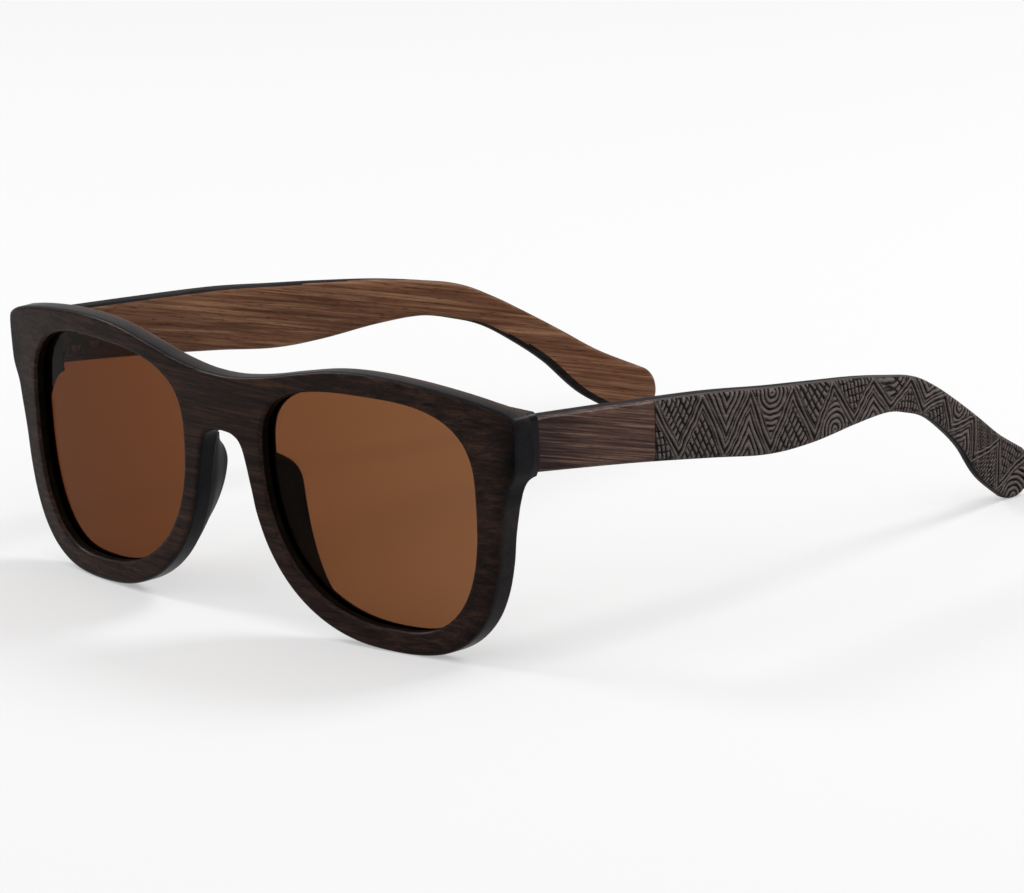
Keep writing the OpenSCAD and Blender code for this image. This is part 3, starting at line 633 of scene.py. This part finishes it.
half_step = np.where(from_zigzag > 0, 0.5, 0)
base_mid = (np.round(phase - half_step) + half_step) * zigzag_len
arcs = groove(repeat(np.hypot(along - base_mid, level - np.sign(from_zigzag) * face_h), 1.02))
up_fill = [rising, nested, arcs, falling, uprights]
low_fill = [uprights, falling, nested, rising, arcs, nested]
up_turn = np.mod(np.floor(phase), len(up_fill)).astype(int)
low_turn = np.mod(np.floor(phase + 0.5), len(low_fill)).astype(int)
relief = np.where(from_zigzag > 0, np.choose(up_turn, up_fill), np.choose(low_turn, low_fill))
lines = np.maximum(groove(from_zigzag, 0.34), 0.8 * groove(abs(from_zigzag) - 0.85, 0.22))
relief = np.where(abs(from_zigzag) < border, lines, relief)
relief = np.maximum(relief, groove(true_along - 0.15, 0.3))
relief *= 0.82 + 0.18 * np.sin(1.7 * true_along + 2.1 * v)
fade = np.clip((0.5 - draw_in) / 0.3, 0, 1) * (which == 1.0) * np.clip(true_along / 0.2, 0, 1)
carve = relief * fade * (np.cos(tip_turn)[:, None] > 0.1)

place_y = mid[:, 0, None] + v * np.sin(lean)[:, None] + ahead * np.cos(slope)[:, None]
place_z = hinge_z - mid[:, 1, None] + v * np.cos(lean)[:, None] - ahead * np.sin(slope)[:, None]
place_x = (out_x - thick / 2)[:, None] + u - carve_depth * carve
arm_points = np.stack([place_x, joint_y + joint_gap + place_y, place_z], -1)
butt_end = np.broadcast_to(arm_points[0].mean(0), arm_points[0].shape)
arm_left = wrapped_grid("carved_arm_left", np.concatenate([butt_end[None], arm_points]))

# Painted shade and highlight of the carving, and the place of each corner along a grain that rises a
# little towards the hinge
carve_shading = np.where(draw_in < 0.4, 0.12 + 0.88 * carve, 0.5) * (which > 0) * (true_along > 0)
carve_shading = np.concatenate([np.zeros((1, carve.shape[1])), carve_shading])
carved = arm_left.data.attributes.new("carved", "FLOAT", "POINT")
carved.data.foreach_set("value", carve_shading.astype(np.float32).ravel())
grain_tilt, drop = math.radians(-15), place_z - hinge_z
grain_way = np.stack([u, place_y * math.cos(grain_tilt) + drop * math.sin(grain_tilt),
                      drop * math.cos(grain_tilt) - place_y * math.sin(grain_tilt)], -1)
grain_way = np.concatenate([grain_way[:1], grain_way]) * 0.001
grain_place = arm_left.data.attributes.new("grain", "FLOAT_VECTOR", "POINT")
grain_place.data.foreach_set("vector", grain_way.astype(np.float32).ravel())

# Finish: brown outside, lighter inside and dark on the edges. The dark wraps over the lower corner, on
# the outside all along and on the inside towards the tip, and over the upper one inside by the hinge.
outer_face, inner_face, dark_edge = 0, 1, 2
low_wrap_y, top_wrap_y = 112, 48
rounded = draw_in[:-1] + draw_in[1:]
outer = which[:-1] + which[1:]
edge_part = (draw_in[:-1] > 0.9) & (draw_in[1:] > 0.9)
low_edge = (across[:-1] + across[1:] < -1.9) & (rounded > 0) & ((outer < 2) | (rounded > 1))
top_edge = (across[:-1] + across[1:] > 1.9) & (rounded > 0.6) & (outer < 0)
back = np.concatenate([[0], mid[:-1, 0]])[:, None]
edge_part = edge_part | (low_edge & ((outer > 0) | (back > low_wrap_y - 20 * rounded)))
edge_part = edge_part | (top_edge & (back < top_wrap_y + 22 * rounded))
arm_finish = np.where(edge_part, dark_edge, np.where(outer > 0, outer_face, inner_face))
arm_left.data.polygons.foreach_set("material_index", arm_finish.ravel())
edit(arm_left, merge, face_out)

# Recess for the spring box's plate and flange
box_out_x, box_end_y, plate_t, seat_gap = 67.3, joint_y + 12.5, 0.8, 0.02
flange_low_z, plate_top_z = hinge_z - 4, hinge_z + 1.7
recess_low = Vector((box_out_x - 2, joint_y - 1, flange_low_z - seat_gap))
recess_high = Vector((box_out_x + plate_t + seat_gap, box_end_y + seat_gap, plate_top_z + seat_gap))
bpy.ops.object.select_all(action="DESELECT")
bpy.ops.mesh.primitive_cube_add(size=1, scale=(recess_high - recess_low) * 0.001,
                                location=(recess_low + recess_high) * 0.0005)
recess = bpy.context.object
finished(arm_left, "BOOLEAN", object=recess, operation="DIFFERENCE", solver="EXACT")
bpy.data.objects.remove(recess)
arm_right = other_side(arm_left, "carved_arm_right")

arm_wood = stained_wood("temple_outer_wood", along=1, dark=(0.028, 0.0155, 0.0145),
                        mid=(0.078, 0.043, 0.034), warm=(0.2, 0.125, 0.095),
                        rough=(0.24, 0.36), gloss=0.07, streak=0.36, bent=True, carved=True)
arm_inner_wood = stained_wood("temple_inner_wood", along=1, dark=(0.07, 0.029, 0.0155),
                              mid=(0.134, 0.061, 0.034), warm=(0.24, 0.13, 0.072),
                              rough=(0.3, 0.42), gloss=0.06, streak=0.42, bent=True)
arm_edge_wood = stained_wood("temple_edge_wood", along=1, dark=(0.008, 0.007, 0.007),
                             mid=(0.014, 0.012, 0.012), warm=(0.024, 0.019, 0.018),
                             rough=(0.34, 0.46), gloss=0.015, bent=True)
for arm, side in ((arm_left, "left"), (arm_right, "right")):
    for wood in (arm_wood, arm_inner_wood, arm_edge_wood):
        arm.data.materials.append(wood)
    smoothed(arm, angle=50)
    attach(arm, side + "_temple")
    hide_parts("temple_" + side)

# Front hinge leaves: small milled leaves of blackened steel, let flush into the back of the
# endpieces and screwed down. Two knuckles stand out from each, round the pivot.
pivot_x, pivot_y = temple_in_x - 1.7, joint_y + 1.5


def milled_metal(name, colour, along, rough):
    """Metal with fine tool marks along one direction and a slightly uneven finish"""
    metal = bpy.data.materials.new(name)
    metal.use_nodes = True
    nodes, link = metal.node_tree.nodes, metal.node_tree.links.new
    shader = nodes["Principled BSDF"]
    shader.inputs["Metallic"].default_value = 1
    place = nodes.new("ShaderNodeTexCoord")
    heights = []
    for length, width in ((3.0, 0.05), (1.1, 1.1)):
        sizes = [length if k == along else width for k in range(3)]
        stretch = nodes.new("ShaderNodeMapping")
        stretch.inputs["Scale"].default_value = [1000 / size for size in sizes]
        link(place.outputs["Object"], stretch.inputs["Vector"])
        noise = nodes.new("ShaderNodeTexNoise")
        noise.inputs["Scale"].default_value = 1
        noise.inputs["Detail"].default_value = 3
        link(stretch.outputs["Vector"], noise.inputs["Vector"])
        heights.append(noise.outputs["Fac"])
    marks, cloud = heights
    tone = nodes.new("ShaderNodeValToRGB")
    for e, (at, level) in zip(tone.color_ramp.elements, ((0.3, 0.72), (0.7, 1.15))):
        e.position = at
        e.color = (*(level * c for c in colour), 1)
    link(cloud, tone.inputs["Fac"])
    link(tone.outputs["Color"], shader.inputs["Base Color"])
    spread = nodes.new("ShaderNodeMapRange")
    spread.inputs["To Min"].default_value, spread.inputs["To Max"].default_value = rough
    link(marks, spread.inputs["Value"])
    link(spread.outputs["Result"], shader.inputs["Roughness"])
    bump = nodes.new("ShaderNodeBump")
    bump.inputs["Strength"].default_value = 0.3
    bump.inputs["Distance"].default_value = 0.00001
    link(marks, bump.inputs["Height"])
    link(bump.outputs["Normal"], shader.inputs["Normal"])
    return metal


def fitted(piece, metal, body, node):
    """Gives a metal piece its finish, and its place in the frame"""
    piece.data.materials.append(metal)
    smoothed(piece, angle=35)
    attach(piece, body)
    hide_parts(node)


leaf_steel = milled_metal("blackened_leaf_steel", (0.075, 0.068, 0.06), along=2, rough=(0.3, 0.5))
for side in ("left", "right"):
    leaf = worked_copy("front_hinge_" + side, "hinge_leaf_" + side, soften=0.08)
    fitted(leaf, leaf_steel, "front", "front_hinge_" + side)

# Leaf screws: four small countersunk wood screws with a slot, two through each leaf into the endpiece.
# They are turned from bar, with a cut thread and a sawn slot.
screw_head_r, screw_r, screw_root_r, screw_len, screw_pitch = 1.05, 0.55, 0.4, 2.8, 0.24
knuckle_reach, leaf_half_h = 2.15, 4.8
leaf_screw_z = knuckle_reach + (leaf_half_h - knuckle_reach) / 2
wood_screw = [(screw_head_r, 0), (screw_head_r, -0.06), (screw_r, -0.5), (screw_r, -0.75)]
for k in range(7):
    wood_screw += [(screw_root_r, -0.85 - screw_pitch * k), (screw_r, -0.97 - screw_pitch * k)]
wood_screw += [(0.36, -2.55), (0.05, -screw_len)]


def turned_screw(name, profile, slot_depth):
    """A screw from its profile of radius and height, head first, with a slot across its head"""
    bpy.ops.object.select_all(action="DESELECT")
    bpy.ops.mesh.primitive_circle_add(vertices=28, radius=profile[0][0] * 0.001, fill_type="NGON")
    screw = bpy.context.object
    screw.name = screw.data.name = name
    bpy.ops.object.mode_set(mode="EDIT")
    bpy.ops.mesh.select_all(action="SELECT")
    for (wide, top), (next_wide, low) in zip(profile, profile[1:]):
        bpy.ops.mesh.extrude_region_move(TRANSFORM_OT_translate={"value": (0, 0, (low - top) * 0.001)})
        ratio = next_wide / wide
        bpy.ops.transform.resize(value=(ratio, ratio, 1), center_override=(0, 0, 0))
    bpy.ops.object.mode_set(mode="OBJECT")
    edit(screw, face_out)
    bpy.ops.object.select_all(action="DESELECT")
    bpy.ops.mesh.primitive_cube_add(size=1, scale=(0.0003, 0.004, 2 * slot_depth * 0.001))
    slot = bpy.context.object
    finished(screw, "BOOLEAN", object=slot, operation="DIFFERENCE", solver="EXACT")
    bpy.data.objects.remove(slot)
    finished(screw, "BEVEL", width=0.00003, segments=2, limit_method="ANGLE",
             angle_limit=math.radians(50), use_clamp_overlap=True)
    return screw


def set_of_screws(name, model, places):
    """One mesh of copies of a screw, each turned so that its head points along a direction"""
    bpy.ops.object.select_all(action="DESELECT")
    for where, head, twist in places:
        copy = bpy.data.objects.new(name, model.data.copy())
        bpy.context.scene.collection.objects.link(copy)
        turned = Vector(head).to_track_quat("Z", "Y").to_matrix().to_4x4()
        spot = Matrix.Translation(Vector(where) * 0.001)
        copy.data.transform(spot @ turned @ Matrix.Rotation(math.radians(twist), 4, "Z"))
        copy.select_set(True)
        bpy.context.view_layer.objects.active = copy
    bpy.ops.object.join()
    joined = bpy.context.object
    joined.name = joined.data.name = name
    return joined


screw_steel = milled_metal("turned_screw_steel", (0.2, 0.155, 0.105), along=1, rough=(0.26, 0.44))
model_screw = turned_screw("model_screw", wood_screw, slot_depth=0.28)
leaf_places = []
for sign, up, twist in ((1, 1, 20), (1, -1, 75), (-1, 1, -35), (-1, -1, 50)):
    place = (sign * pivot_x, joint_y, hinge_z + up * leaf_screw_z)
    leaf_places.append((place, (0, 1, 0), twist))
leaf_screws = set_of_screws("leaf_screws", model_screw, leaf_places)
fitted(leaf_screws, screw_steel, "front", "front_hinge_screws")

# Pivot screws: a steel screw down through the three knuckles of each hinge, with a slotted cheese
# head on top, on which the temple turns.
head_r, head_h, pin_r, pin_root_r, pin_pitch = 1.02, 0.5, 0.6, 0.52, 0.26
head_low = knuckle_reach + 0.02
pivot_profile = [(0.9, 0), (head_r, -0.1), (head_r, -head_h), (pin_r, -head_h), (pin_r, -3.6)]
for k in range(4):
    pivot_profile += [(pin_root_r, -3.7 - pin_pitch * k), (pin_r, -3.83 - pin_pitch * k)]
pivot_profile += [(0.5, -4.82)]
model_pivot = turned_screw("model_pivot", pivot_profile, slot_depth=0.26)
for side, sign in (("left", 1), ("right", -1)):
    head_top = (sign * pivot_x, pivot_y, hinge_z + head_low + head_h)
    pivot = set_of_screws("hinge_pivot_" + side, model_pivot, [(head_top, (0, 0, 1), 35 * sign)])
    fitted(pivot, screw_steel, "front", "pivot_screw_" + side)
bpy.data.objects.remove(model_pivot)

# Hinge sliders: the middle knuckle with a square neck and a round rod that runs in the spring box.
# They are turned and milled in one piece from steel, and blackened.
slider_steel = milled_metal("blackened_slider_steel", (0.085, 0.077, 0.068), along=1, rough=(0.22, 0.42))
for side in ("left", "right"):
    slider = worked_copy("hinge_slider_" + side, "sliding_knuckle_" + side, soften=0.06)
    fitted(slider, slider_steel, side + "_slider", "hinge_slider_" + side)

# Rod nuts: round brass nuts on the ends of the rods, which press the springs together when a temple is
# pushed outwards.
nut_brass = milled_metal("turned_brass", (0.62, 0.42, 0.16), along=1, rough=(0.2, 0.36))
for side in ("left", "right"):
    nut = worked_copy("rod_nut_" + side, "brass_nut_" + side, soften=0.1)
    fitted(nut, nut_brass, side + "_slider", "rod_nut_" + side)

# Hinge springs: small coils of drawn spring wire on the rods, between the box's front wall and the
# nut. On the real hinge they shorten as the nut comes forward; each coil here is one fixed shape.
wire_r, coil_r, coil_from, coil_to, curls = 0.18, 0.825, joint_y + 4.7, joint_y + 9.0, 5
drawn_wire = milled_metal("drawn_spring_wire", (0.5, 0.49, 0.46), along=1, rough=(0.18, 0.32))
bpy.ops.object.select_all(action="DESELECT")
bpy.ops.mesh.primitive_circle_add(vertices=14, radius=wire_r * 0.001, location=(coil_r * 0.001, 0, 0),
                                  rotation=(math.pi / 2, 0, 0))
bpy.ops.object.transform_apply(location=True, rotation=True, scale=True)
coil_left = bpy.context.object
coil_left.name = coil_left.data.name = "wound_spring_left"
finished(coil_left, "SCREW", axis="Z", angle=math.radians(-360), iterations=curls, steps=28,
         render_steps=28, screw_offset=(coil_to - coil_from) / curls * 0.001)


def close_wire_ends():
    """Fills the open ends of the wire"""
    bpy.ops.mesh.select_all(action="DESELECT")
    bpy.ops.mesh.select_mode(type="EDGE")
    bpy.ops.mesh.select_non_manifold()
    bpy.ops.mesh.edge_face_add()


edit(coil_left, merge, close_wire_ends, face_out)
coil_left.data.transform(Matrix.Rotation(math.radians(-90), 4, "X"))
coil_left.data.transform(Matrix.Translation(Vector((pivot_x, coil_from, hinge_z)) * 0.001))
coil_right = other_side(coil_left, "wound_spring_right")
for coil, side, sign in ((coil_left, "left", 1), (coil_right, "right", -1)):
    fitted(coil, drawn_wire, side + "_temple", "hinge_spring_" + side)
    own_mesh(coil)

# Spring boxes: bored steel blocks on a thin plate, let into the temple's inner face and held by two
# screws through the flange below. A pressed-in plug closes the bore at the back.
box_from, box_len, box_round, flange_screw_z = 3.5, 9, 0.12, 2.85
box_steel = milled_metal("blackened_box_steel", (0.07, 0.06, 0.05), along=1, rough=(0.34, 0.55))
for side, sign in (("left", 1), ("right", -1)):
    box = worked_copy("spring_box_" + side, "bored_box_" + side, box_round)
    fitted(box, box_steel, side + "_temple", "spring_box_" + side)
    plug = worked_copy("box_plug_" + side, "bore_plug_" + side, box_round)
    fitted(plug, box_steel, side + "_temple", "box_plug_" + side)
    flange_places = []
    for share, twist in ((0.27, 15), (0.75, -40)):
        place = (sign * box_out_x, joint_y + (box_from + share * box_len), hinge_z - flange_screw_z)
        flange_places.append((place, (-sign, 0, 0), twist))
    screws = set_of_screws("flange_screws_" + side, model_screw, flange_places)
    fitted(screws, screw_steel, side + "_temple", "box_screws_" + side)
bpy.data.objects.remove(model_screw)

# Floor, light and camera: a pale tabletop under soft studio light from above, seen from a little above
# the glasses, in front of them and to the wearer's left.
bpy.ops.object.select_all(action="DESELECT")
bpy.ops.mesh.primitive_plane_add(size=12)
floor = bpy.context.object
floor.name = "pale_table"
table_white = bpy.data.materials.new("pale_table_white")
table_white.use_nodes = True
nodes, link = table_white.node_tree.nodes, table_white.node_tree.links.new
shader = nodes["Principled BSDF"]
shader.inputs["Base Color"].default_value = (0.4, 0.4, 0.4, 1)
shader.inputs["Roughness"].default_value = 0.9
shader.inputs["Specular IOR Level"].default_value = 0.0


def seen_rays(nodes, link):
    """1 for what the camera sees, straight on, in a reflection or through a lens, and 0 for light"""
    path = nodes.new("ShaderNodeLightPath")
    seen = path.outputs["Is Camera Ray"]
    for kind in ("Is Glossy Ray", "Is Transmission Ray"):
        either = nodes.new("ShaderNodeMath")
        either.operation = "MAXIMUM"
        link(seen, either.inputs[0])
        link(path.outputs[kind], either.inputs[1])
        seen = either.outputs[0]
    return seen


seen_glow, sky_low, sky_high = 0.38, 0.35, 0.85
whiten = nodes.new("ShaderNodeMapRange")
whiten.inputs["To Min"].default_value, whiten.inputs["To Max"].default_value = 0.0, seen_glow
link(seen_rays(nodes, link), whiten.inputs["Value"])
shader.inputs["Emission Color"].default_value = (1, 1, 1, 1)
link(whiten.outputs["Result"], shader.inputs["Emission Strength"])
floor.data.materials.append(table_white)

world = bpy.data.worlds.new("studio_white")
bpy.context.scene.world = world
world.use_nodes = True
nodes, link = world.node_tree.nodes, world.node_tree.links.new
background = nodes["Background"]
background.inputs["Color"].default_value = (1, 1, 1, 1)
sky = nodes.new("ShaderNodeSeparateXYZ")
link(nodes.new("ShaderNodeTexCoord").outputs["Generated"], sky.inputs["Vector"])
level = nodes.new("ShaderNodeMapRange")
level.inputs["To Min"].default_value, level.inputs["To Max"].default_value = sky_low, sky_high
link(sky.outputs["Z"], level.inputs["Value"])
link(level.outputs["Result"], background.inputs["Strength"])


def softbox(name, watts, size, place, aim=(0, 0, 0.03)):
    """A square studio lamp that points at the glasses"""
    bpy.ops.object.light_add(type="AREA", location=place)
    lamp = bpy.context.object
    lamp.name = name
    lamp.data.energy, lamp.data.size = watts, size
    lamp.rotation_mode = "QUATERNION"
    lamp.rotation_quaternion = (Vector(aim) - Vector(place)).to_track_quat("-Z", "Y")


softbox("back_softbox", watts=7.0, size=0.42, place=(0.27, 0.7, 0.85))
softbox("left_softbox", watts=4.6, size=0.3, place=(-0.85, -0.28, 0.72))
softbox("side_softbox", watts=4.0, size=0.8, place=(1.0, -0.3, 0.8))
softbox("front_softbox", watts=2.5, size=1.0, place=(-0.35, -1.1, 0.8))

focal_pixels, image_pixels, sensor_w = 9268.173, 1024, 36
camera = bpy.data.cameras.new("viewer")
camera.sensor_width, camera.sensor_fit = sensor_w, "HORIZONTAL"
camera.lens = focal_pixels / image_pixels * sensor_w
viewer = bpy.data.objects.new("viewer", camera)
bpy.context.scene.collection.objects.link(viewer)
view_right, view_up = Vector((0.65325, 0.75467, -0.06108)), Vector((-0.14491, 0.20380, 0.96823))
view_back = Vector((0.74314, -0.62365, 0.24249))
stand = Vector((1.285588, front_y * 0.001 - 1.009821, 0.437478))
turned = Matrix((view_right, view_up, view_back)).transposed()
viewer.matrix_world = Matrix.LocRotScale(stand, turned, None)
bpy.context.scene.camera = viewer
bpy.context.scene.view_settings.view_transform = "Standard"
